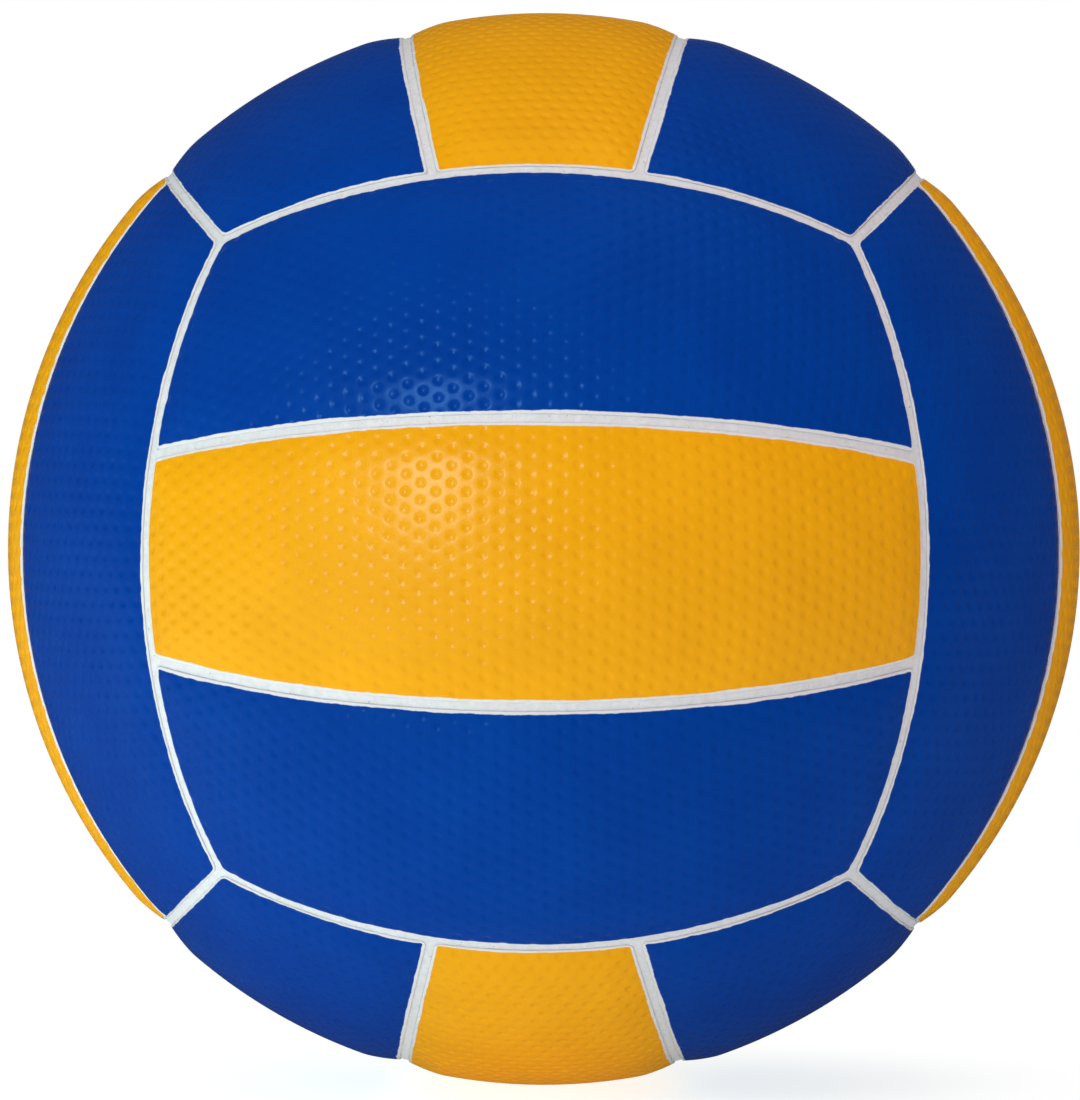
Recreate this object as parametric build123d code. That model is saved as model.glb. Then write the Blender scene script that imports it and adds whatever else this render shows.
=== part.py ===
from build123d import *
import math
import os

# Netball: a laminated rubber ball under a cover of eighteen strip panels with sunken seams.
# Millimetres. The origin is the ball's centre, +Z is up and +Y points at the valve.

# Cover
ball_diameter = 222.8          # over the crowns of the panels, so 700 mm round
panel_thickness = 1.4          # at the crown of a panel
edge_thickness = 0.25          # at a panel's rolled edge
roll_width = 6.5               # from a panel's edge to where its crown begins
roll_crease = 4.0              # degrees by which the rolled edge meets the crown off tangent
seam_width = 1.8               # open channel between two panels
middle_strip_span = 30.0       # degrees that the middle strip takes of its face

# Layers under the cover
cement_film = 0.15             # between one layer and the next
carcass_thickness = 0.7
winding_thickness = 0.4
bladder_thickness = 0.7

# Valve plug
needle_bore_diameter = 2.0
needle_bore_depth = 7.0        # straight wall, between the funnel and the slit
funnel_flare = 0.6             # how much wider than the bore the funnel opens, all round
funnel_depth = 0.8
slit_length = 4.6              # from the bore to the plug's inner end
slit_width = 0.2               # closes behind the needle
slit_height = 2.6
shank_wall = 1.3               # round the bore
head_lip = 0.9                 # how far the head stands out from the shank
head_thickness = 1.6
plug_clearance = 0.08          # round the plug in the boot

# Valve boot
valve_sink = 0.4               # how far the valve's face lies below the crown
neck_wall = 1.2                # round the plug's head
neck_clearance = 0.15          # round the neck, in every layer that it comes out through
flange_reach = 7.5             # out from the neck, against the inside of the bladder
flange_thickness = 0.9
tail_wall = 2.6                # round the plug's shank, in the air space

crown_radius = ball_diameter / 2
underside_radius = crown_radius - panel_thickness
carcass_radius = underside_radius - cement_film
winding_radius = carcass_radius - carcass_thickness - cement_film
bladder_radius = winding_radius - winding_thickness - cement_film
air_radius = bladder_radius - bladder_thickness

bore_radius = needle_bore_diameter / 2
shank_radius = bore_radius + shank_wall
head_radius = shank_radius + head_lip
neck_radius = head_radius + plug_clearance + neck_wall
passage_radius = neck_radius + neck_clearance
valve_face = crown_radius - valve_sink
funnel_bottom = valve_face - funnel_depth
bore_bottom = funnel_bottom - needle_bore_depth
plug_end = bore_bottom - slit_length

cut_margin = 2.0               # how far a cutter reaches past what it cuts

# Each face's outward normal, the way its strips run, and the names of its three strips.
# The strips are named in the order that they lie along normal x run.
faces = {
    "front": ((0, -1, 0), (1, 0, 0), ("lower", "middle", "upper")),
    "back": ((0, 1, 0), (-1, 0, 0), ("lower", "middle", "upper")),
    "top": ((0, 0, 1), (0, -1, 0), ("left", "middle", "right")),
    "bottom": ((0, 0, -1), (0, 1, 0), ("left", "middle", "right")),
    "left": ((-1, 0, 0), (0, 0, 1), ("front", "middle", "back")),
    "right": ((1, 0, 0), (0, 0, -1), ("front", "middle", "back")),
}
# Neighbouring faces meet halfway between their normals
face_half_span = Vector(faces["front"][0]).get_angle(Vector(faces["top"][0])) / 2


def on_sphere(radius, height):
    # Point of a sphere's outline, by its height along an axis through the centre
    return Vector(math.sqrt(radius**2 - height**2), height)


def on_radius(radius, offset):
    # Point of a sphere's outline, by its distance from that axis
    return Vector(offset, math.sqrt(radius**2 - offset**2))


def sphere_arc(radius, start_offset, end_offset):
    middle_offset = (start_offset + end_offset) / 2
    return ThreePointArc(
        on_radius(radius, start_offset), on_radius(radius, middle_offset), on_radius(radius, end_offset)
    )


def edge_normals(low_angle, high_angle):
    # Normals, into the panel, of the four planes through the centre that bound it.
    # The strip runs along X, and its long edges lie at these angles from the face's normal, Z.
    low = math.radians(low_angle)
    high = math.radians(high_angle)
    end = math.radians(face_half_span)
    return [
        Vector(0, math.cos(low), -math.sin(low)),
        Vector(0, -math.cos(high), math.sin(high)),
        Vector(math.cos(end), 0, math.sin(end)),
        Vector(-math.cos(end), 0, math.sin(end)),
    ]


def roll_section():
    # Section of what is cut off above a rolled edge: X out from the axis, Y in from the edge's plane
    edge = on_sphere(underside_radius + edge_thickness, seam_width / 2)
    crown = on_sphere(crown_radius, seam_width / 2 + roll_width)
    lean = math.asin(crown.Y / crown_radius) - math.radians(roll_crease)
    inward = Vector(-math.cos(lean), -math.sin(lean))
    chord = edge - crown
    roll_radius = chord.length**2 / (2 * chord.dot(inward))
    centre = crown + inward * roll_radius
    seam_middle = Vector(centre.X + math.sqrt(roll_radius**2 - centre.Y**2), 0)
    outside = crown_radius + cut_margin
    return make_face(
        ThreePointArc(crown, edge, seam_middle)
        + Polyline(seam_middle, (outside, 0), (outside, crown.Y), crown)
    )


def roll_cutter(edge_normal, panel_middle):
    # The section turned about the edge plane's normal, with its seam on the far side of the ball
    away = -(panel_middle - edge_normal * panel_middle.dot(edge_normal)).normalized()
    placement = Plane((0, 0, 0), x_dir=away, z_dir=away.cross(edge_normal))
    return placement.location * revolve(roll_section(), Axis.Y)


def make_panel(low_angle, high_angle):
    # Poles along Y and seam at the back keep the sphere's own edges off the panel
    placement = Plane((0, 0, 0), x_dir=(0, 0, -1), z_dir=(0, 1, 0)).location
    panel = placement * (Sphere(crown_radius) - Sphere(underside_radius))
    normals = edge_normals(low_angle, high_angle)
    for normal in normals:
        panel = split(panel, Plane(normal * (seam_width / 2), z_dir=normal), Keep.TOP)
    middle_angle = math.radians((low_angle + high_angle) / 2)
    panel_middle = Vector(0, math.sin(middle_angle), math.cos(middle_angle))
    for normal in normals:
        panel -= roll_cutter(normal, panel_middle)
    return panel


def valve_passage():
    # Hole along Z, as on a face that carries the valve
    height = crown_radius + cut_margin
    return Cylinder(passage_radius, height, align=(Align.CENTER, Align.CENTER, Align.MIN))


def make_layer(outer_radius, thickness):
    to_valve = Rot(X=-90)
    return Sphere(outer_radius) - Sphere(outer_radius - thickness) - to_valve * valve_passage()


def make_valve_boot():
    flange_top = air_radius - cement_film
    flange_bottom = flange_top - flange_thickness
    flange_radius = neck_radius + flange_reach
    head_socket = head_radius + plug_clearance
    shank_socket = shank_radius + plug_clearance
    tail_radius = shank_socket + tail_wall
    seat = valve_face - head_thickness - plug_clearance
    section = make_face(
        Polyline((head_socket, valve_face), (neck_radius, valve_face), on_radius(flange_top, neck_radius))
        + sphere_arc(flange_top, neck_radius, flange_radius)
        + Line(on_radius(flange_top, flange_radius), on_radius(flange_bottom, flange_radius))
        + sphere_arc(flange_bottom, flange_radius, tail_radius)
        + Polyline(
            on_radius(flange_bottom, tail_radius),
            (tail_radius, plug_end),
            (shank_socket, plug_end),
            (shank_socket, seat),
            (head_socket, seat),
            (head_socket, valve_face),
        )
    )
    return revolve(section, Axis.Y)


def make_valve_plug():
    head_bottom = valve_face - head_thickness
    section = make_face(
        Polyline(
            (bore_radius + funnel_flare, valve_face),
            (head_radius, valve_face),
            (head_radius, head_bottom),
            (shank_radius, head_bottom),
            (shank_radius, plug_end),
            (0, plug_end),
            (0, bore_bottom),
            (bore_radius, bore_bottom),
            (bore_radius, funnel_bottom),
            (bore_radius + funnel_flare, valve_face),
        )
    )
    slit = Box(slit_width, slit_length + cut_margin, slit_height, align=(Align.CENTER, Align.MAX, Align.CENTER))
    return revolve(section, Axis.Y) - Pos(0, bore_bottom, 0) * slit


valve_panel = "back_middle_panel"

strip_edge = middle_strip_span / 2
middle_strip = make_panel(-strip_edge, strip_edge)
side_strip = make_panel(strip_edge, face_half_span)
strips = [Rot(Z=180) * side_strip, middle_strip, side_strip]

nodes = {}
for face, (normal, run, names) in faces.items():
    placement = Plane((0, 0, 0), x_dir=run, z_dir=normal).location
    for name, strip in zip(names, strips):
        node = f"{face}_{name}_panel"
        pierced = strip - valve_passage() if node == valve_panel else strip
        nodes[node] = placement * pierced

nodes["carcass"] = make_layer(carcass_radius, carcass_thickness)
nodes["winding"] = make_layer(winding_radius, winding_thickness)
nodes["bladder"] = make_layer(bladder_radius, bladder_thickness)
nodes["valve_boot"] = make_valve_boot()
nodes["valve_plug"] = make_valve_plug()

os.makedirs("parts", exist_ok=True)
for node, solid in nodes.items():
    solid.label = node
    export_step(solid, f"parts/{node}.step")
    print(f"{node}: {solid.volume:.1f} mm3")
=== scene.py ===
import math
import bmesh
import bpy
import numpy as np
from mathutils import Matrix, Vector, noise
from mathutils.geometry import delaunay_2d_cdt


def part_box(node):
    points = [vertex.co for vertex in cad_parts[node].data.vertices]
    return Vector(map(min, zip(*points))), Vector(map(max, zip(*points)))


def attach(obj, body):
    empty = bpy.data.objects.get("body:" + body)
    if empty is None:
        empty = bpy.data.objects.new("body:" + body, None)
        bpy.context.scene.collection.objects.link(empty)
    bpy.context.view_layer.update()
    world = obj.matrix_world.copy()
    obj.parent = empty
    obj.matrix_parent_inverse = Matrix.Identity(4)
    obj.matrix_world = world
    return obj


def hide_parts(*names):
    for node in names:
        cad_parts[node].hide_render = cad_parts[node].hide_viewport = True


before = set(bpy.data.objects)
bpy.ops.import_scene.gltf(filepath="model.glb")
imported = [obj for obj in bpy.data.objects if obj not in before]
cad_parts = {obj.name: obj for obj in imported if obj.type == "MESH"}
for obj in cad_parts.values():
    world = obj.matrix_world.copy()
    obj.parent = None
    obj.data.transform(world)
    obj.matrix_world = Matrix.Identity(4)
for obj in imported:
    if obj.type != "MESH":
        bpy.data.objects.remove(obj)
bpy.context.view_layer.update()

mm = 0.001                       # the shapes below are worked out in millimetres
crownRadius = -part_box("front_middle_panel")[0].y / mm
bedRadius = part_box("carcass")[1].z / mm
print("frame:", len(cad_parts), "nodes, crown radius", round(crownRadius, 2), "mm")

# the six faces: outward normal, the way the strips run, and the strips in order across
faces = {
    "front": ((0, -1, 0), (1, 0, 0), ("lower", "middle", "upper")),
    "back": ((0, 1, 0), (-1, 0, 0), ("lower", "middle", "upper")),
    "top": ((0, 0, 1), (0, -1, 0), ("left", "middle", "right")),
    "bottom": ((0, 0, -1), (0, 1, 0), ("left", "middle", "right")),
    "left": ((-1, 0, 0), (0, 0, 1), ("front", "middle", "back")),
    "right": ((1, 0, 0), (0, 0, -1), ("front", "middle", "back")),
}
faceEnd = math.radians(45)       # neighbouring faces meet halfway
sharpAngle = math.radians(50)    # turns sharper than this are shaded as edges
valveFace = "back"
valvePanel = valveFace + "_middle_panel"


def faceTurn(normal, run):
    # turns a face's own axes (run, across, outward) into the ball's
    outward = Vector(normal)
    along = Vector(run)
    return Matrix((along, outward.cross(along), outward)).transposed()


def newMesh(name, points, triangles, material):
    mesh = bpy.data.meshes.new(name)
    mesh.vertices.add(len(points))
    mesh.vertices.foreach_set("co", (points * mm).astype(np.float32).ravel())
    mesh.loops.add(triangles.size)
    mesh.loops.foreach_set("vertex_index", triangles.astype(np.int32).ravel())
    mesh.polygons.add(len(triangles))
    mesh.polygons.foreach_set("loop_start", np.arange(0, triangles.size, 3, dtype=np.int32))
    mesh.update(calc_edges=True)
    mesh.validate()
    mesh.shade_smooth()
    mesh.set_sharp_from_angle(angle=sharpAngle)
    mesh.materials.append(material)
    return mesh


def addPiece(name, mesh, body, node):
    piece = bpy.data.objects.new(name, mesh)
    bpy.context.scene.collection.objects.link(piece)
    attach(piece, body)
    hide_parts(node)
    return piece


def floatLayer(mesh, name, values):
    layer = mesh.attributes.new(name, "FLOAT", "POINT")
    layer.data.foreach_set("value", values.astype(np.float32))


# materials

noiseSpan = (0.3, 0.7)           # most of a noise's values lie between these


def startMaterial(name):
    material = bpy.data.materials.new(name)
    material.use_nodes = True
    tree = material.node_tree
    tree.nodes.clear()
    output = tree.nodes.new("ShaderNodeOutputMaterial")
    place = addNode(tree, "ShaderNodeTexCoord").outputs["Object"]
    return material, tree, output, place


def addNode(tree, kind, inputs=None, **settings):
    node = tree.nodes.new(kind)
    for key, value in settings.items():
        setattr(node, key, value)
    for socket, value in (inputs or {}).items():
        if isinstance(value, bpy.types.NodeSocket):
            tree.links.new(value, node.inputs[socket])
        else:
            node.inputs[socket].default_value = value
    return node


def addNoise(tree, place, featureSize, detail=2.0, roughness=0.5):
    # feature size in millimetres
    scale = 1 / (featureSize * mm)
    return addNode(tree, "ShaderNodeTexNoise", {
        "Vector": place, "Scale": scale, "Detail": detail, "Roughness": roughness}).outputs["Fac"]


def addRange(tree, value, low, high, toLow, toHigh, smooth=False):
    kind = "SMOOTHSTEP" if smooth else "LINEAR"
    return addNode(tree, "ShaderNodeMapRange", {
        "Value": value, "From Min": low, "From Max": high, "To Min": toLow, "To Max": toHigh},
        interpolation_type=kind).outputs["Result"]


def addMath(tree, operation, first, second):
    return addNode(tree, "ShaderNodeMath", {0: first, 1: second}, operation=operation).outputs[0]


def addMix(tree, factor, first, second):
    return addNode(tree, "ShaderNodeMix", {"Factor": factor, 6: first, 7: second},
                   data_type="RGBA").outputs[2]


def addBump(tree, height, distance, strength):
    # distance in millimetres
    return addNode(tree, "ShaderNodeBump", {
        "Height": height, "Strength": strength, "Distance": distance * mm}).outputs["Normal"]


def addSurface(tree, output, inputs):
    shader = addNode(tree, "ShaderNodeBsdfPrincipled", inputs)
    tree.links.new(shader.outputs[0], output.inputs["Surface"])


coverRubber = {
    "blue": ((0.0003, 0.035, 0.250, 1), (0.0004, 0.041, 0.273, 1)),      # darker and paler
    "yellow": ((0.75, 0.322, 0.002, 1), (0.80, 0.350, 0.003, 1)),
    "sheen": {"blue": (0.15, 0.43, 0.78, 1), "yellow": (0.85, 0.81, 0.76, 1)},
    "white": (0.66, 0.65, 0.66, 1),
    "mottle": 18.0,                  # mm, size of the faint paler clouds
    "grain": (0.22, 0.005),          # mm, size and height of the skin's grain
    "ripple": (0.95, 0.016),         # mm, size and height of its unevenness
    "roughness": (0.25, 0.33),
    "specular": 0.13,
    "lapWidth": 0.38,                # mm of seam white that laps on to a panel's lip
    "lapRagged": (0.30, 0.12),       # mm by which the lap comes and goes, slowly and in nicks
    "lapLength": (11.0, 1.5),        # mm, the length of either
    "lapSoft": 0.10,                 # mm over which the white fades, to either side of the lap's edge
}


def makeCoverRubber(hue):
    look = coverRubber
    material, tree, output, place = startMaterial(hue + "PanelRubber")
    grainSize, grainHeight = look["grain"]
    rippleSize, rippleHeight = look["ripple"]
    clouds = addNoise(tree, place, look["mottle"], detail=3.0)
    grain = addNoise(tree, place, grainSize)
    ripple = addNoise(tree, place, rippleSize, detail=1.0)
    rubber = addMix(tree, addRange(tree, clouds, *noiseSpan, 0, 1), *look[hue])
    # ragged white lap along the lips
    edge = addNode(tree, "ShaderNodeAttribute", attribute_name="edgeGap").outputs["Fac"]
    bare = addMath(tree, "SUBTRACT", edge, look["lapWidth"])
    for length, swing in zip(look["lapLength"], look["lapRagged"]):
        brush = addNoise(tree, place, length, detail=1.5)
        ragged = addRange(tree, brush, *noiseSpan, -swing / 2, swing / 2)
        bare = addMath(tree, "SUBTRACT", bare, ragged)
    lap = addRange(tree, bare, -look["lapSoft"], look["lapSoft"], 1, 0, True)
    skin = addMath(tree, "ADD", addMath(tree, "MULTIPLY", grain, grainHeight),
                   addMath(tree, "MULTIPLY", ripple, rippleHeight))
    addSurface(tree, output, {
        "Base Color": addMix(tree, lap, rubber, look["white"]),
        "Roughness": addRange(tree, grain, *noiseSpan, *look["roughness"]),
        "Normal": addBump(tree, skin, distance=1.0, strength=1.0),
        "Specular IOR Level": look["specular"],
        "Specular Tint": look["sheen"][hue]})
    return material


seamRubber = {
    "white": ((0.59, 0.585, 0.595, 1), (0.70, 0.69, 0.70, 1)),
    "brush": (1.3, 0.05),            # mm, size and height of the unevenness left by the brush
    "fine": (0.35, 0.4),             # mm, size of the finer grain on it, and its share of that height
    # painted shade: a grey painted along the crease at each lip's foot, where the lip's shadow falls on the
    # seam white
    "creaseShadeTone": (0.42, 0.42, 0.44, 1),
    "creaseShadeFrom": (0.66, 0.88),      # mm from the seam's middle, where the painted crease shade begins and is full
    "shadeStretch": 6.0,                     # mm, length of the stretches where the painted crease shade shows
    "shadeStretchSpan": (0.44, 0.66),        # of that noise, where the painted crease shade begins to show and is full
    "speck": (0.22, 0.21, 0.22, 1),
    "dirt": 0.55,                    # mm, size of the specks
    "dirtSpan": (0.72, 0.78),        # of that noise, as for the wear
    "shadeAndSpeckShare": 0.8,                    # how much of the white the painted crease shade or a dirt speck takes
    "roughness": (0.55, 0.75),
}


def makeSeamRubber():
    look = seamRubber
    material, tree, output, place = startMaterial("seamWhite")
    brushSize, brushHeight = look["brush"]
    fineSize, fineShare = look["fine"]
    brush = addNoise(tree, place, brushSize, detail=4.0, roughness=0.6)
    fine = addNoise(tree, place, fineSize, detail=3.0)
    shadeStretch = addNoise(tree, place, look["shadeStretch"], detail=3.0)
    dirt = addNoise(tree, place, look["dirt"], detail=1.0)
    white = addMix(tree, addRange(tree, brush, *noiseSpan, 0, 1), *look["white"])
    gap = addNode(tree, "ShaderNodeAttribute", attribute_name="seamGap").outputs["Fac"]
    # painted shade: the white is greyed in stretches beside each lip, where the crease's shadow would fall;
    # the specks are dirt
    shadeStrength = addRange(tree, shadeStretch, *look["shadeStretchSpan"], 0, look["shadeAndSpeckShare"], True)
    creaseShade = addMath(tree, "MULTIPLY", addRange(tree, gap, *look["creaseShadeFrom"], 0, 1, True), shadeStrength)
    specked = addRange(tree, dirt, *look["dirtSpan"], 0, look["shadeAndSpeckShare"], True)
    used = addMix(tree, creaseShade, white, look["creaseShadeTone"])
    height = addMath(tree, "ADD", brush, addRange(tree, fine, 0, 1, 0, fineShare))
    addSurface(tree, output, {
        "Base Color": addMix(tree, specked, used, look["speck"]),
        "Roughness": addRange(tree, fine, *noiseSpan, *look["roughness"]),
        "Normal": addBump(tree, height, brushHeight, strength=0.7)})
    return material


darkRubber = {
    "valveBoot": {"tones": ((0.018, 0.018, 0.019, 1), (0.030, 0.030, 0.031, 1)),
                  "roughness": (0.50, 0.62)},
    "valvePlug": {"tones": ((0.024, 0.024, 0.025, 1), (0.042, 0.042, 0.044, 1)),
                  "roughness": (0.38, 0.50)},
    "bladderSkin": {"tones": ((0.014, 0.014, 0.015, 1), (0.026, 0.026, 0.028, 1)),
                    "roughness": (0.55, 0.70)},
    "bloom": 2.5,                    # mm, size of the greyer clouds
    "bloomSpan": (0.35, 0.65),       # of that noise, from the dark tone to the grey
    "grain": (0.15, 0.012),          # mm, size and height of the skin's grain
}


def makeDarkRubber(name):
    look = darkRubber[name]
    material, tree, output, place = startMaterial(name)
    grainSize, grainHeight = darkRubber["grain"]
    bloom = addNoise(tree, place, darkRubber["bloom"], detail=4.0, roughness=0.6)
    grain = addNoise(tree, place, grainSize)
    grey = addRange(tree, bloom, *darkRubber["bloomSpan"], 0, 1)
    addSurface(tree, output, {
        "Base Color": addMix(tree, grey, *look["tones"]),
        "Roughness": addRange(tree, bloom, *noiseSpan, *look["roughness"]),
        "Normal": addBump(tree, grain, grainHeight, strength=0.5)})
    return material


windingThread = {
    # the first tone is painted into the grooves between threads and the second on their tops: painted shade
    "tones": ((0.55, 0.53, 0.46, 1), (0.78, 0.76, 0.68, 1)),
    "thread": (0.45, 0.2),           # mm, width and height
    "headings": ((1, 0.35, 0.2), (-0.3, 1, 0.45), (0.25, -0.4, 1)),     # ways that the thread crosses
    "waver": 0.6,
    "roughness": 0.7,
}
bandWidth = 0.16                     # of a wave texture's band at scale 1


def makeWindingThread():
    look = windingThread
    material, tree, output, place = startMaterial("woundThread")
    width, thickness = look["thread"]
    scale = bandWidth / (width * mm)
    height = None
    for heading in look["headings"]:
        turned = addNode(tree, "ShaderNodeMapping", {"Vector": place, "Rotation": heading}).outputs[0]
        threads = addNode(tree, "ShaderNodeTexWave", {
            "Vector": turned, "Scale": scale, "Distortion": look["waver"], "Detail": 1.0}).outputs["Fac"]
        height = threads if height is None else addMath(tree, "MAXIMUM", height, threads)
    # the colour follows the threads' height, painting the grooves darker: painted shade
    addSurface(tree, output, {
        "Base Color": addMix(tree, height, *look["tones"]),
        "Roughness": look["roughness"],
        "Normal": addBump(tree, height, thickness, strength=0.8)})
    return material


finishes = {
    "blue": makeCoverRubber("blue"),
    "yellow": makeCoverRubber("yellow"),
    "seam": makeSeamRubber(),
    "boot": makeDarkRubber("valveBoot"),
    "plug": makeDarkRubber("valvePlug"),
    "bladder": makeDarkRubber("bladderSkin"),
    "winding": makeWindingThread(),
}
print("materials:", len(finishes))


# sheets: flat triangles that are cut to an outline before they are laid on the ball

cutSnap = 0.05                   # mm; points this near a cut are slid on to it
rowSnap = 0.012                  # the same beside a lip, where the rows lie close
slopeStep = 1e-4                 # mm, over which a field's slope is taken


def slideOnToCut(flat, field, level, snap):
    # moves the points that lie close to the cut, and gives every point's distance from it
    flat = flat.copy()
    value = field(flat) - level
    near = np.abs(value) < snap
    moves = ((slopeStep, 0), (0, slopeStep))
    rises = [field(flat[near] + move) - level - value[near] for move in moves]
    slope = np.stack(rises, axis=1) / slopeStep
    flat[near] -= slope * (value[near] / (slope**2).sum(axis=1))[:, None]
    value[near] = 0
    return flat, value


def cutSheet(flat, triangles, field, level, keepBelow, snap):
    # splits the triangles where field equals level, and drops those below it unless they are kept
    flat, value = slideOnToCut(flat, field, level, snap)
    signs = np.sign(value)[triangles]
    crossed = (signs.min(axis=1) < 0) & (signs.max(axis=1) > 0)
    whole, split, signs = triangles[~crossed], triangles[crossed], signs[crossed]
    turn = np.arange(3)[None]
    # through a corner: that corner comes first
    atCorner = (signs == 0).any(axis=1)
    first = np.argmax(signs[atCorner] == 0, axis=1)[:, None]
    corner = np.take_along_axis(split[atCorner], (first + turn) % 3, axis=1)
    # through two sides: the corner that stands alone comes first
    alone = signs[~atCorner]
    first = np.argmax(alone == -np.sign(alone.sum(axis=1))[:, None], axis=1)[:, None]
    pair = np.take_along_axis(split[~atCorner], (first + turn) % 3, axis=1)
    sides = np.sort(np.concatenate([corner[:, 1:], pair[:, [0, 1]], pair[:, [0, 2]]]), axis=1)
    sides, index = np.unique(sides, axis=0, return_inverse=True)
    share = value[sides[:, 0]] / (value[sides[:, 0]] - value[sides[:, 1]])
    added = flat[sides[:, 0]] + share[:, None] * (flat[sides[:, 1]] - flat[sides[:, 0]])
    index = index.reshape(-1) + len(flat)
    onCorner, onFirst, onSecond = np.split(index, [len(corner), len(corner) + len(pair)])
    triangles = np.concatenate([
        whole,
        np.stack([corner[:, 0], corner[:, 1], onCorner], axis=1),
        np.stack([corner[:, 0], onCorner, corner[:, 2]], axis=1),
        np.stack([pair[:, 0], onFirst, onSecond], axis=1),
        np.stack([onFirst, pair[:, 1], pair[:, 2]], axis=1),
        np.stack([onFirst, pair[:, 2], onSecond], axis=1),
    ])
    flat = np.concatenate([flat, added])
    value = np.concatenate([value, np.zeros(len(added))])
    if not keepBelow:
        triangles = triangles[value[triangles].sum(axis=1) > 0]
    used, triangles = np.unique(triangles, return_inverse=True)
    return flat[used], triangles.reshape(-1, 3)


def borderSides(triangles):
    # sides that belong to one triangle only, in that triangle's own order
    sides = triangles[:, [0, 1, 1, 2, 2, 0]].reshape(-1, 2)
    found = np.unique(np.sort(sides, axis=1), axis=0, return_inverse=True, return_counts=True)
    index, count = found[1:]
    return sides[count[index.reshape(-1)] == 1]


def wallUnder(sides, below):
    # two triangles under each side of a border, down to the points below it
    start, end = sides.T
    return np.concatenate([np.stack([start, below[start], below[end]], axis=1),
                           np.stack([start, below[end], end], axis=1)])


def withinLoop(triangles, loop):
    # the triangles that are reached from the loop's own side without crossing it
    owner = {}
    for index, (a, b, c) in enumerate(triangles):
        owner.update({(a, b): index, (b, c): index, (c, a): index})
    fence = set(map(tuple, loop))
    waiting = [owner[side] for side in fence]
    reached = set(waiting)
    while waiting:
        a, b, c = triangles[waiting.pop()]
        for side in {(a, b), (b, c), (c, a)} - fence:
            beyond = owner[side[::-1]]
            if beyond not in reached:
                reached.add(beyond)
                waiting.append(beyond)
    return np.array([triangles[index] for index in sorted(reached)])


# cover panels: a dimpled sheet, trimmed to its outline and laid on the ball

cover = {
    "panelThickness": 1.4,
    "middleSpan": math.radians(30),  # what the middle strip takes of its face
    "seamWidth": 1.8,                # open channel between two lips
    "edgeDrop": 1.15,                # how far a lip lies below the crown
    "rollWidth": 7.8,                # from a lip to the full crown
    "rollPower": 1.5,
    "rollBlend": 8,                  # how sharply two rolled edges meet at a corner
    "lipRadius": 0.15,
    "lipRows": (0.04, 0.10, 0.17),   # extra rows of points beside the lip
    "cornerRadius": 1.2,
    "underSpacing": 6.0,             # between points of the glued side
    "valveHole": 4.63,               # radius
    "valvePad": 8.5,                 # radius of the smooth ring round the valve
    "stripLap": 0.24,                # mm more of seam white along a middle strip
}
dimple = {
    "pitch": 3.5,                    # to the next one across the strip
    "columnGap": 3.15,               # to the next column along the strip
    "width": 2.8,
    "depth": 0.25,
    "spread": 0.25,                  # how much the depth varies
    "edgeFade": 0.9,                 # mm from a lip where a dimple reaches its full depth
    "rings": (0.24, 0.45, 0.64, 0.82, 1.0),
}
panelLayout = {
    "margin": 4.0,                   # mm round the sheet
    "wallFlare": 1.01,               # the wall lies just outside the top
    "underShift": (0, 0.5),          # the glued side lies beside the top
}
underRadius = crownRadius - cover["panelThickness"]
lipHeight = crownRadius - cover["edgeDrop"]
halfMiddle = cover["middleSpan"] / 2
fillTolerance = 1e-9                 # mm, for the glued side's triangles
cellDigits = 3                       # to which the border points of two cells are the same, in mm


def dimpleCell():
    # six-sided cell with rings of points round its middle
    # each corner is as far from its own dimple as from the two beside it
    gap, pitch = dimple["columnGap"], dimple["pitch"]
    lean = pitch**2 / (8 * gap)
    corners = np.array([(gap / 2 + lean, 0), (gap / 2 - lean, pitch / 2), (lean - gap / 2, pitch / 2)])
    corners = np.concatenate([corners, -corners])
    middles = (corners + np.roll(corners, -1, axis=0)) / 2
    border = np.stack([corners, middles], axis=1).reshape(-1, 2)
    sides = len(border)
    spokes = border / np.linalg.norm(border, axis=1)[:, None]
    rings = [spokes * share * dimple["width"] / 2 for share in dimple["rings"]] + [border]
    here = np.arange(sides)
    after = (here + 1) % sides
    triangles = [np.stack([0 * here, 1 + here, 1 + after], axis=1)]
    for ring in range(len(rings) - 1):
        inner, outer = 1 + ring * sides, 1 + (ring + 1) * sides
        triangles.append(np.stack([inner + here, outer + here, outer + after], axis=1))
        triangles.append(np.stack([inner + here, outer + after, inner + after], axis=1))
    return np.concatenate([np.zeros((1, 2))] + rings), np.concatenate(triangles)


def dimpleSheet(halfLength, halfWidth):
    # cells side by side, every second column half a pitch further on
    gap, pitch = dimple["columnGap"], dimple["pitch"]
    cell, cellTriangles = dimpleCell()
    columns = int(halfLength / gap) + 2
    rows = int(halfWidth / pitch) + 2
    column, row = np.mgrid[-columns:columns + 1, -rows:rows + 1]
    centres = np.stack([column * gap, (row + (column % 2) / 2) * pitch], axis=-1).reshape(-1, 2)
    points = (centres[:, None, :] + cell[None]).reshape(-1, 2)
    starts = np.arange(len(centres)) * len(cell)
    triangles = (starts[:, None, None] + cellTriangles[None]).reshape(-1, 3)
    # neighbouring cells share their border points
    found = np.unique(np.round(points, cellDigits), axis=0, return_index=True, return_inverse=True)
    first, shared = found[1:]
    return points[first], shared.reshape(-1)[triangles]


def stripDirections(flat, middleAngle):
    # place on the sheet, in mm along and across the strip, to a direction in the face's own axes
    along, across = (flat / crownRadius).T
    out = np.cos(along) * np.cos(across)
    side = np.sin(across)
    turnCos, turnSin = math.cos(middleAngle), math.sin(middleAngle)
    return np.stack([np.sin(along) * np.cos(across), out * turnSin + side * turnCos,
                     out * turnCos - side * turnSin], axis=1)


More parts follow.
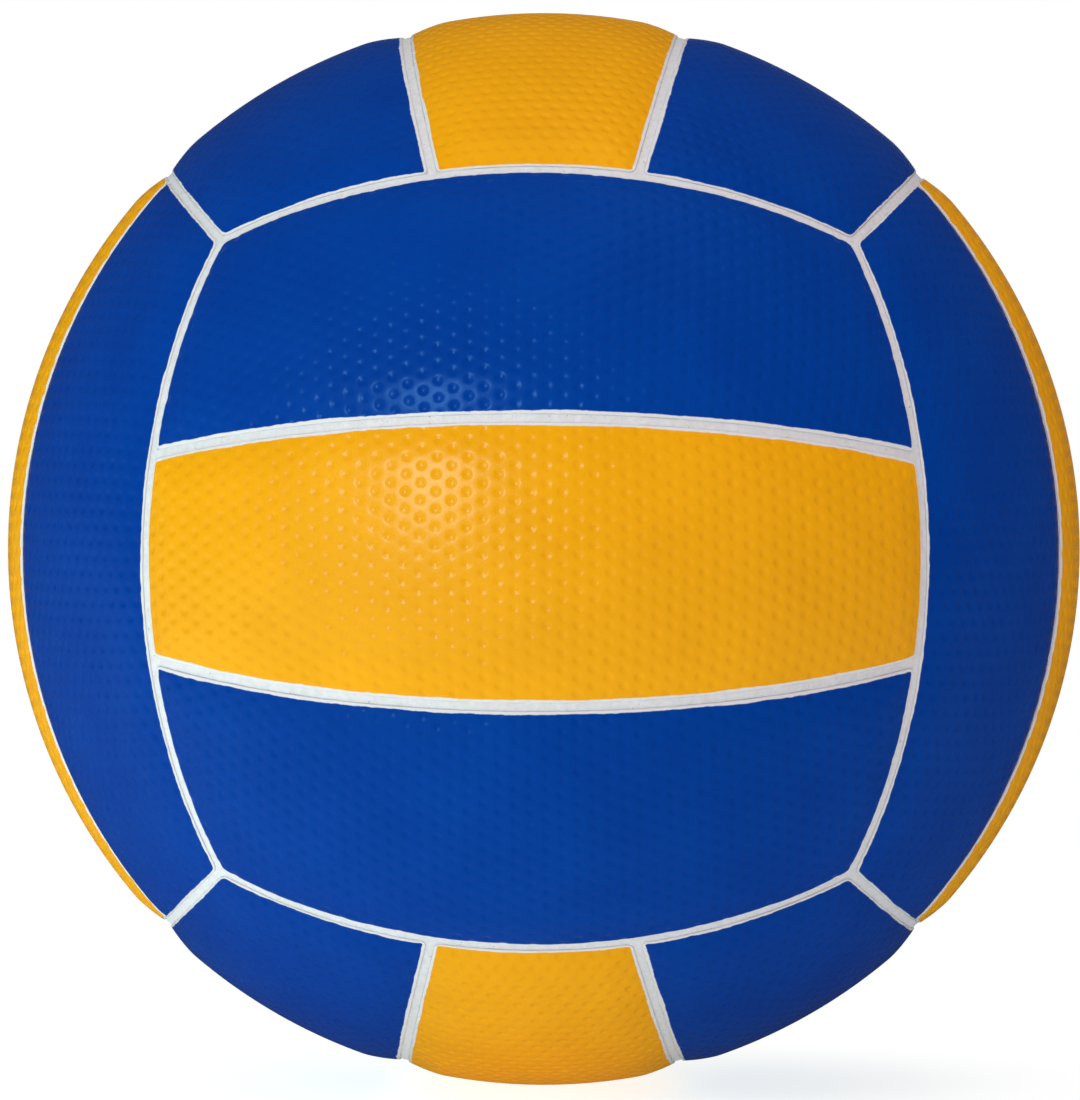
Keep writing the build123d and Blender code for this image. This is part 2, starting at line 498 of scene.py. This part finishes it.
def edgeGaps(directions, low, high):
    # distance from each of the four lips: the two long ones, then the two ends
    inward = np.array([
        (0, math.cos(low), -math.sin(low)),
        (0, -math.cos(high), math.sin(high)),
        (math.cos(faceEnd), 0, math.sin(faceEnd)),
        (-math.cos(faceEnd), 0, math.sin(faceEnd)),
    ])
    return directions @ inward.T * lipHeight - cover["seamWidth"] / 2


def outlineGap(gaps):
    # distance from the outline, with the corners rounded
    across = gaps[:, :2].min(axis=1)
    along = gaps[:, 2:].min(axis=1)
    radius = cover["cornerRadius"]
    inCorner = (across < radius) & (along < radius)
    rounded = radius - np.hypot(radius - across, radius - along)
    return np.where(inCorner, rounded, np.minimum(across, along))


def holeGap(flat):
    # distance from the hole that the valve comes out through
    return np.linalg.norm(flat, axis=1) - cover["valveHole"]


def cellChance(column, row):
    # a number from 0 to 1 for each dimple, the same in every run
    return np.modf(np.abs(np.sin(column * 12.9898 + row * 78.233) * 43758.5453))[0]


def dimpleDepth(flat, padRadius):
    # the nearest dimple is in this column or in one beside it
    gap, pitch = dimple["columnGap"], dimple["pitch"]
    nearest = np.full(len(flat), np.inf)
    depth = np.zeros(len(flat))
    for beside in (-1, 0, 1):
        column = np.round(flat[:, 0] / gap) + beside
        offset = (column % 2) / 2
        row = np.round(flat[:, 1] / pitch - offset)
        centre = np.stack([column * gap, (row + offset) * pitch], axis=1)
        away = np.linalg.norm(flat - centre, axis=1)
        hollow = np.clip(1 - (away / (dimple["width"] / 2))**2, 0, 1)**2
        hollow *= dimple["depth"] * (1 + dimple["spread"] * (2 * cellChance(column, row) - 1))
        hollow[np.linalg.norm(centre, axis=1) < padRadius] = 0
        closer = away < nearest
        nearest[closer] = away[closer]
        depth[closer] = hollow[closer]
    return depth


def panelDrop(flat, gaps, gap, padRadius):
    # how far the top lies below the crown: rolled edges, rounded lips and dimples
    roll = cover["edgeDrop"] * np.clip(1 - gaps / cover["rollWidth"], 0, 1)**cover["rollPower"]
    drop = (roll**cover["rollBlend"]).sum(axis=1)**(1 / cover["rollBlend"])
    lip = cover["lipRadius"]
    drop += lip - np.sqrt(lip**2 - np.clip(lip - gap, 0, lip)**2)
    return drop + dimpleDepth(flat, padRadius) * np.clip(gap / dimple["edgeFade"], 0, 1)


def gluedSide(rimFlat, loop, outline):
    # wide triangles within the rim
    spacing = cover["underSpacing"]
    reach = np.abs(rimFlat).max(axis=0)
    grid = np.stack(np.meshgrid(*[np.arange(-r, r, spacing) for r in reach]), axis=-1).reshape(-1, 2)
    flat = np.concatenate([rimFlat, grid[outline(grid) > spacing / 2]])
    filled = delaunay_2d_cdt([Vector(p) for p in flat], loop, [], 0, fillTolerance, False)
    return flat, withinLoop(filled[2], loop)[:, ::-1]


def layOutPanel(mesh, top, wall, under, flat, rimFlat, underFlat):
    # the sheet's own layout
    reach = np.abs(flat).max(axis=0) + panelLayout["margin"]
    span = 2 * reach[0]
    topPlace = (flat + reach) / span
    rimPlace = (rimFlat * panelLayout["wallFlare"] + reach) / span
    underPlace = (underFlat + reach) / span + np.array(panelLayout["underShift"])
    wallPlace = np.concatenate([topPlace, rimPlace])
    places = np.concatenate([topPlace[top], wallPlace[wall], underPlace[under]])
    mesh.uv_layers.new(name="OFBake").data.foreach_set("uv", places.astype(np.float32).ravel())


def makePanel(name, low, high, pierced, material):
    middleAngle = (low + high) / 2

    def outline(flat):
        gap = outlineGap(edgeGaps(stripDirections(flat, middleAngle), low, high))
        return np.minimum(gap, holeGap(flat)) if pierced else gap

    flat, top = dimpleSheet(faceEnd * crownRadius, (high - low) / 2 * crownRadius)
    flat, top = cutSheet(flat, top, outline, 0, False, cutSnap)
    for row in cover["lipRows"]:
        flat, top = cutSheet(flat, top, outline, row, True, rowSnap)
    directions = stripDirections(flat, middleAngle)
    gaps = edgeGaps(directions, low, high)
    drop = panelDrop(flat, gaps, outline(flat), cover["valvePad"] if pierced else 0)
    # the wall under the lip, and the glued side
    sides = borderSides(top)
    rim = np.unique(sides)
    below = np.full(len(flat), -1)
    below[rim] = len(flat) + np.arange(len(rim))
    wall = wallUnder(sides, below)
    underFlat, under = gluedSide(flat[rim], (below[sides] - len(flat)).tolist(), outline)
    underside = stripDirections(underFlat, middleAngle) * underRadius
    points = np.concatenate([directions * (crownRadius - drop)[:, None], underside])
    mesh = newMesh(name, points, np.concatenate([top, wall, under + len(flat)]), material)
    # a side that meets another strip of the same face carries more white
    stripSeams = [side for side, angle in enumerate((low, high)) if abs(angle) < faceEnd]
    toWhite = np.minimum(outlineGap(gaps), gaps[:, stripSeams].min(axis=1) - cover["stripLap"])
    floatLayer(mesh, "edgeGap", np.concatenate([toWhite, np.zeros(len(underFlat))]))
    layOutPanel(mesh, top, wall, under, flat, flat[rim], underFlat)
    return mesh


patterns = {
    "middle": makePanel("middlePattern", -halfMiddle, halfMiddle, False, finishes["yellow"]),
    "side": makePanel("sidePattern", halfMiddle, faceEnd, False, finishes["blue"]),
    "valve": makePanel("valvePattern", -halfMiddle, halfMiddle, True, finishes["yellow"]),
}
for pattern, mesh in patterns.items():
    print("panel pattern:", pattern, len(mesh.vertices), "points", len(mesh.polygons), "triangles")

panels = []
for face, (normal, run, strips) in faces.items():
    turn = faceTurn(normal, run).to_4x4()
    for place, strip in enumerate(strips):
        node = f"{face}_{strip}_panel"
        pattern = "valve" if node == valvePanel else "middle" if strip == "middle" else "side"
        # the first strip is the last one turned about
        flip = Matrix.Rotation(math.pi, 4, "Z") if place == 0 else Matrix.Identity(4)
        mesh = patterns[pattern].copy()
        mesh.transform(turn @ flip)
        mesh.name = node
        panels.append(addPiece(f"{face}_{strip}_skin", mesh, "ball", node))
for mesh in patterns.values():
    bpy.data.meshes.remove(mesh)
print("cover:", len(panels), "panels")


# carcass: the white layer under the cover, seen as the bottom of the seams

carcass = {
    "thickness": 0.7,
    "seamLines": (0, 0.3, 0.6, 0.9, 1.3, 2.0),      # mm from a seam's middle, where points are set
    "coarse": 4.2,                   # mm between points under the panels
    "fill": 0.12,                    # how far the seam's bottom stands above the layer
    "fillReach": (1.0, 2.2),         # mm from the middle, where the fill begins and ends to fall
    "hollow": 0.04,                  # how far the middle of the bottom dips
    "uneven": 0.03,
    "unevenLength": 9.0,
}
weldGap = 0.01                       # mm between points that are made one
lineDigits = 4                       # to which two grid lines are the same, in mm


def seamLines():
    # places along a face where grid lines run, as mm of arc from its middle
    seams = (-faceEnd * bedRadius, -halfMiddle * bedRadius, halfMiddle * bedRadius, faceEnd * bedRadius)
    lines = set()
    for seam in seams:
        for away in carcass["seamLines"]:
            lines.update((round(seam - away, lineDigits), round(seam + away, lineDigits)))
    last = carcass["seamLines"][-1]
    for start, end in zip(seams, seams[1:]):
        count = math.ceil((end - start - 2 * last) / carcass["coarse"])
        lines.update(np.linspace(start + last, end - last, count + 1)[1:-1])
    limit = round(faceEnd * bedRadius, lineDigits)
    return np.array(sorted(line for line in lines if abs(line) <= limit))


def faceGrid():
    lines = seamLines()
    size = len(lines)
    index = np.arange(size * size).reshape(size, size)
    here, right, above, both = index[:-1, :-1], index[:-1, 1:], index[1:, :-1], index[1:, 1:]
    triangles = np.concatenate([np.stack([here, right, both], axis=-1).reshape(-1, 3),
                                np.stack([here, both, above], axis=-1).reshape(-1, 3)])
    return np.stack(np.meshgrid(lines, lines), axis=-1).reshape(-1, 2), triangles


def carcassDirections(flat):
    tangents = np.tan(flat / bedRadius)
    outward = np.concatenate([tangents, np.ones((len(flat), 1))], axis=1)
    return outward / np.linalg.norm(outward, axis=1)[:, None]


def seamGap(directions):
    # distance from the nearest seam's middle
    tilts = (-faceEnd, -halfMiddle, halfMiddle, faceEnd)
    planes = [(0, math.cos(tilt), -math.sin(tilt)) for tilt in tilts]
    planes += [(math.cos(tilt), 0, -math.sin(tilt)) for tilt in (-faceEnd, faceEnd)]
    return np.abs(directions @ np.array(planes).T).min(axis=1) * bedRadius


def seamFill(ways, gap):
    # how far the layer's outside stands above its plain round
    start, end = carcass["fillReach"]
    fall = np.clip((end - gap) / (end - start), 0, 1)
    fill = carcass["fill"] * fall**2 * (3 - 2 * fall)
    fill -= carcass["hollow"] * np.clip(1 - (gap / start)**2, 0, 1)
    length = carcass["unevenLength"]
    wave = np.array([noise.noise(Vector(way) * bedRadius / length) for way in ways])
    return fill + carcass["uneven"] * wave * (gap < end)


def makeCarcass():
    grid = faceGrid()
    outside, inside, skins, seams, total = [], [], [], [], 0
    for face in faces:
        normal, run = faces[face][:2]
        flat, triangles = grid
        if face == valveFace:
            flat, triangles = cutSheet(flat, triangles, holeGap, 0, False, cutSnap)
            border = borderSides(triangles)
            atHole = holeGap(flat[border[:, 0]]) < carcass["coarse"]
            holeSides = border[atHole] + total
        directions = carcassDirections(flat)
        gap = seamGap(directions)
        ways = directions @ np.array(faceTurn(normal, run)).T
        outside.append(ways * (bedRadius + seamFill(ways, gap))[:, None])
        inside.append(ways * (bedRadius - carcass["thickness"]))
        skins.append(triangles + total)
        seams.append(gap)
        total += len(flat)
    skin = np.concatenate(skins)
    wall = wallUnder(holeSides, np.arange(total) + total)
    everything = np.concatenate([skin, skin[:, ::-1] + total, wall])
    mesh = newMesh("carcass", np.concatenate(outside + inside), everything, finishes["seam"])
    floatLayer(mesh, "seamGap", np.concatenate(seams + seams))
    # faces share the points along their borders
    work = bmesh.new()
    work.from_mesh(mesh)
    bmesh.ops.remove_doubles(work, verts=work.verts, dist=weldGap * mm)
    work.to_mesh(mesh)
    work.free()
    return mesh


carcassPiece = addPiece("carcass_skin", makeCarcass(), "ball", "carcass")
print("carcass:", len(carcassPiece.data.polygons), "triangles")


# valve: a moulded boot in the layers and the plug that sits in it

valve = {
    "sides": 72,
    "head": (3.2, 1.6),              # radius and thickness of the plug's head
    "shank": 2.3,                    # radius
    "funnel": (1.6, 0.8),            # radius and depth
    "bore": (1.0, 7.0),              # radius and depth
    "slit": (0.2, 2.6),              # width and height
    "slitMargin": 1.0,               # how far its knife reaches past the plug's inner end
    "clearance": 0.08,               # round the plug in the boot
    "neckWall": 1.2,
    "tailWall": 2.6,
    "flange": (7.5, 0.9),            # reach from the neck, and thickness
    "flangeTop": 107.6,              # radius of the round that the flange lies against
    "flangeSteps": 8,
    "bevel": 0.14,
    "bevelSteps": 3,
    "bevelFrom": math.radians(35),   # turns sharper than this are bevelled
}
heightDigits = 4                     # to which heights in the frame are read, in mm
faceHeight = round(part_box("valve_plug")[1].y / mm, heightDigits)
endHeight = round(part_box("valve_plug")[0].y / mm, heightDigits)
funnelBottom = faceHeight - valve["funnel"][1]
boreBottom = funnelBottom - valve["bore"][1]


def flangeArc(sphere, fromRadius, toRadius):
    radii = np.linspace(fromRadius, toRadius, valve["flangeSteps"])
    return [(r, math.sqrt(sphere**2 - r**2)) for r in radii]


def lathe(name, outline, material, closed):
    # turns (radius, height) points about +Y; an open outline begins and ends on the axis
    sides = valve["sides"]
    angles = np.arange(sides) * 2 * math.pi / sides
    points, rings = [], []
    for radius, height in outline:
        if radius == 0:
            rings.append([len(points)] * sides)
            points.append((0, height, 0))
        else:
            rings.append(list(range(len(points), len(points) + sides)))
            points += [(radius * math.cos(a), height, -radius * math.sin(a)) for a in angles]
    quads = []
    pairs = list(zip(rings, rings[1:] + rings[:1]))
    for one, two in pairs if closed else pairs[:-1]:
        for k in range(sides):
            corners = [one[k], one[(k + 1) % sides], two[(k + 1) % sides], two[k]]
            quads.append(list(dict.fromkeys(corners)))
    mesh = bpy.data.meshes.new(name)
    mesh.from_pydata([Vector(p) * mm for p in points], [], quads)
    mesh.shade_smooth()
    mesh.materials.append(material)
    return mesh


def cutSlit(blank):
    # the slit runs from the bore's bottom out through the inner end
    halfWidth, halfHeight = valve["slit"][0] / 2, valve["slit"][1] / 2
    beyond = endHeight - valve["slitMargin"]
    corners = [Vector((x, y, z)) * mm for x in (-halfWidth, halfWidth)
               for y in (beyond, boreBottom) for z in (-halfHeight, halfHeight)]
    knifeMesh = bpy.data.meshes.new("slitKnife")
    knifeMesh.from_pydata(corners, [], [(0, 1, 3, 2), (4, 6, 7, 5), (0, 4, 5, 1), (2, 3, 7, 6),
                                        (0, 2, 6, 4), (1, 5, 7, 3)])
    knife = bpy.data.objects.new("slitKnife", knifeMesh)
    work = bpy.data.objects.new("plugBlank", blank)
    for thing in (knife, work):
        bpy.context.scene.collection.objects.link(thing)
    cut = work.modifiers.new("slit", "BOOLEAN")
    cut.object = knife
    cut.solver = "EXACT"
    ready = work.evaluated_get(bpy.context.evaluated_depsgraph_get())
    mesh = bpy.data.meshes.new_from_object(ready)
    mesh.name = "valve_plug"
    bpy.data.objects.remove(work)
    bpy.data.objects.remove(knife)
    return mesh


def soften(piece):
    bevel = piece.modifiers.new("softEdges", "BEVEL")
    bevel.width = valve["bevel"] * mm
    bevel.segments = valve["bevelSteps"]
    bevel.limit_method = "ANGLE"
    bevel.angle_limit = valve["bevelFrom"]
    bevel.harden_normals = True


def makeBoot():
    headRadius, headThickness = valve["head"]
    reach, thickness = valve["flange"]
    headSocket = headRadius + valve["clearance"]
    shankSocket = valve["shank"] + valve["clearance"]
    seat = faceHeight - headThickness - valve["clearance"]
    neck = headSocket + valve["neckWall"]
    tail = shankSocket + valve["tailWall"]
    outline = [(headSocket, faceHeight), (headSocket, seat), (shankSocket, seat),
               (shankSocket, endHeight), (tail, endHeight)]
    outline += flangeArc(valve["flangeTop"] - thickness, tail, neck + reach)
    outline += flangeArc(valve["flangeTop"], neck + reach, neck)
    outline += [(neck, faceHeight)]
    return lathe("valve_boot", outline, finishes["boot"], True)


def makePlug():
    headRadius, headThickness = valve["head"]
    headBottom = faceHeight - headThickness
    bore, funnel, shank = valve["bore"][0], valve["funnel"][0], valve["shank"]
    outline = [(0, endHeight), (shank, endHeight), (shank, headBottom), (headRadius, headBottom),
               (headRadius, faceHeight), (funnel, faceHeight), (bore, funnelBottom),
               (bore, boreBottom), (0, boreBottom)]
    return cutSlit(lathe("plugBlank", outline, finishes["plug"], False))


soften(addPiece("valve_boot_moulding", makeBoot(), "ball", "valve_boot"))
soften(addPiece("valve_plug_moulding", makePlug(), "plug", "valve_plug"))
print("valve: boot and plug")

for layer in ("winding", "bladder"):
    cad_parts[layer].material_slots[0].material = finishes[layer]
print("layers inside: winding and bladder")


# studio: floor, lamps, world and the photograph's view

studio = {
    "floorRadius": 3.0,
    "floorSides": 96,
    "floorTones": ((0.80, 0.80, 0.80, 1), (0.83, 0.83, 0.83, 1)),
    "fibre": 1.5,                    # mm, size of the paper's fibres
    "shadowShare": 0.45,             # of the floor's own shading that the camera sees under the ball
    "shadowReach": (0.03, 0.13),     # m from the ball's foot over which that fades to white
    "floorGlow": (1.80, 0.40),       # light that the lit table sends up, at the left and at the right
    "glowTint": (0.84, 1, 0.98, 1),
    "glowSpan": (-0.30, 0.08),       # m, where that begins to change and ends
    "ambient": 0.28,
    "room": 0.05,                    # what reflections see in front of the ball
    "backdropReach": (0.98, 1.0),    # how far back a direction points where the backdrop begins and is full
}
# place: degrees round from the front to the right, degrees up, and m from the ball's centre
# size in m; a lamp gives glints, soft light or both
lamps = {
    "key": {"place": (-22, 16, 1.3), "size": (0.22, 0.40), "watts": 12.5,
            "tint": (1, 1, 1), "gives": "glints"},
    "left": {"place": (-38, 19, 1.3), "size": (1.0, 1.0), "watts": 4.4,
             "tint": (0.82, 1, 1), "gives": "soft"},
    "right": {"place": (34, 20, 1.5), "size": (1.0, 1.0), "watts": 3.4,
              "tint": (1, 0.56, 0.62), "gives": "soft"},
    "top": {"place": (20, 75, 1.4), "size": (1.0, 1.0), "watts": 10.2,
            "tint": (1, 1, 1), "gives": "soft"},
    "leftBoard": {"place": (-163, 0, 1.2), "size": (0.5, 1.2), "watts": 0.9,
                  "tint": (1, 1, 1), "gives": "soft"},
}


def addGlow(tree, strength, tint=(1, 1, 1, 1)):
    return addNode(tree, "ShaderNodeEmission", {"Color": tint, "Strength": strength}).outputs[0]


def addMirrored(tree, path):
    return addMath(tree, "MAXIMUM", path["Is Glossy Ray"], path["Is Transmission Ray"])


def addBackdrop(tree, depth):
    # the white backdrop stands behind the ball, and reflections see it there
    return addRange(tree, depth, *studio["backdropReach"], studio["room"], 1, True)


def makeFloorPaper(height):
    material, tree, output, place = startMaterial("floorPaper")
    material.cycles.emission_sampling = "NONE"       # so that the table's light leaves no sheen
    pale = addMix(tree, addNoise(tree, place, studio["fibre"], detail=3.0), *studio["floorTones"])
    sideways = addNode(tree, "ShaderNodeSeparateXYZ", {0: place}).outputs["X"]
    lit = addRange(tree, sideways, *studio["glowSpan"], *studio["floorGlow"])
    table = addGlow(tree, lit, studio["glowTint"])
    paper = addNode(tree, "ShaderNodeBsdfDiffuse", {"Color": pale}).outputs[0]
    paper = addNode(tree, "ShaderNodeAddShader", {0: paper, 1: table}).outputs[0]
    # the camera sees some of the paper's shading near the ball's foot, and white beyond
    fromFoot = {0: place, 1: (0, 0, height)}
    away = addNode(tree, "ShaderNodeVectorMath", fromFoot, operation="SUBTRACT").outputs[0]
    distance = addNode(tree, "ShaderNodeVectorMath", {0: away}, operation="LENGTH").outputs["Value"]
    shaded = addRange(tree, distance, *studio["shadowReach"], studio["shadowShare"], 0, True)
    path = addNode(tree, "ShaderNodeLightPath").outputs
    bare = addMath(tree, "MULTIPLY", path["Is Camera Ray"], addMath(tree, "SUBTRACT", 1.0, shaded))
    depth = addNode(tree, "ShaderNodeSeparateXYZ", {0: away}).outputs["Y"]
    mirror = addBackdrop(tree, addMath(tree, "DIVIDE", depth, distance))
    white = addGlow(tree, addMath(tree, "MAXIMUM", path["Is Camera Ray"], mirror))
    flatWhite = addMath(tree, "MAXIMUM", bare, addMirrored(tree, path))
    upper = addNode(tree, "ShaderNodeMixShader", {0: flatWhite, 1: paper, 2: white}).outputs[0]
    # nothing hides the ball from below
    under = addNode(tree, "ShaderNodeNewGeometry").outputs["Backfacing"]
    clear = addNode(tree, "ShaderNodeBsdfTransparent").outputs[0]
    mixed = addNode(tree, "ShaderNodeMixShader", {0: under, 1: upper, 2: clear}).outputs[0]
    tree.links.new(mixed, output.inputs["Surface"])
    return material


def makeFloor():
    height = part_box("bottom_middle_panel")[0].z
    radius, sides = studio["floorRadius"], studio["floorSides"]
    angles = [k * 2 * math.pi / sides for k in range(sides)]
    ring = [(radius * math.cos(angle), radius * math.sin(angle), height) for angle in angles]
    mesh = bpy.data.meshes.new("floor")
    mesh.from_pydata(ring, [], [list(range(sides))])
    mesh.materials.append(makeFloorPaper(height))
    floor = bpy.data.objects.new("floor", mesh)
    bpy.context.scene.collection.objects.link(floor)


def makeWorld():
    world = bpy.data.worlds.new("studioWhite")
    world.use_nodes = True
    tree = world.node_tree
    tree.nodes.clear()
    path = addNode(tree, "ShaderNodeLightPath").outputs
    way = addNode(tree, "ShaderNodeTexCoord").outputs["Generated"]
    depth = addNode(tree, "ShaderNodeSeparateXYZ", {0: way}).outputs["Y"]
    lit = addNode(tree, "ShaderNodeMix", {
        "Factor": addMirrored(tree, path), 2: studio["ambient"], 3: addBackdrop(tree, depth)}).outputs[0]
    strength = addMath(tree, "MAXIMUM", path["Is Camera Ray"], lit)
    glow = addNode(tree, "ShaderNodeBackground", {"Color": (1, 1, 1, 1), "Strength": strength})
    output = tree.nodes.new("ShaderNodeOutputWorld")
    tree.links.new(glow.outputs[0], output.inputs["Surface"])
    bpy.context.scene.world = world


def towards(azimuth, elevation):
    # from the ball's centre; azimuth 0 is the front, and it grows to the right
    a, e = math.radians(azimuth), math.radians(elevation)
    return Vector((math.sin(a) * math.cos(e), -math.cos(a) * math.cos(e), math.sin(e)))


def makeLamps():
    for name, setting in lamps.items():
        light = bpy.data.lights.new(name + "Lamp", "AREA")
        light.shape = "RECTANGLE"
        light.size, light.size_y = setting["size"]
        light.energy = setting["watts"]
        light.color = setting["tint"]
        lamp = bpy.data.objects.new(name + "Lamp", light)
        azimuth, elevation, distance = setting["place"]
        way = towards(azimuth, elevation)
        lamp.location = way * distance
        lamp.rotation_mode = "QUATERNION"
        lamp.rotation_quaternion = (-way).to_track_quat("-Z", "Y")
        lamp.visible_camera = False
        lamp.visible_glossy = setting["gives"] != "soft"
        lamp.visible_diffuse = setting["gives"] != "glints"
        bpy.context.scene.collection.objects.link(lamp)


photoView = {
    "azimuth": 1.37,
    "elevation": 1.45,
    "roll": 0.133,
    "distance": 17.5,                # in radii of the ball
    "frame": (1080, 1100),           # px
    "ballRadius": 535.93,            # px, over the crowns
    "ballCentre": (543.83, 548.97),  # px
    "sensor": 36,                    # mm
    "clip": (0.05, 50),              # m
}


def makeCamera():
    view = photoView
    back = towards(view["azimuth"], view["elevation"])
    level = Vector((0, 0, 1)).cross(back).normalized()
    upright = back.cross(level)
    roll = math.radians(view["roll"])
    right = level * math.cos(roll) + upright * math.sin(roll)
    up = back.cross(right)
    data = bpy.data.cameras.new("photoCamera")
    camera = bpy.data.objects.new("photoCamera", data)
    place = back * view["distance"] * crownRadius * mm
    camera.matrix_world = Matrix.Translation(place) @ Matrix((right, up, back)).transposed().to_4x4()
    width, height = view["frame"]
    across, down = view["ballCentre"]
    longSide = max(width, height)
    halfAngle = math.asin(1 / view["distance"])
    data.sensor_width = view["sensor"]
    data.lens = view["ballRadius"] / math.tan(halfAngle) / longSide * view["sensor"]
    data.shift_x = (width / 2 - across) / longSide
    data.shift_y = (down - height / 2) / longSide
    data.clip_start, data.clip_end = view["clip"]
    bpy.context.scene.collection.objects.link(camera)
    bpy.context.scene.camera = camera


makeFloor()
makeWorld()
makeLamps()
makeCamera()
bpy.context.scene.view_settings.view_transform = "Standard"
print("studio:", len(lamps), "lamps")
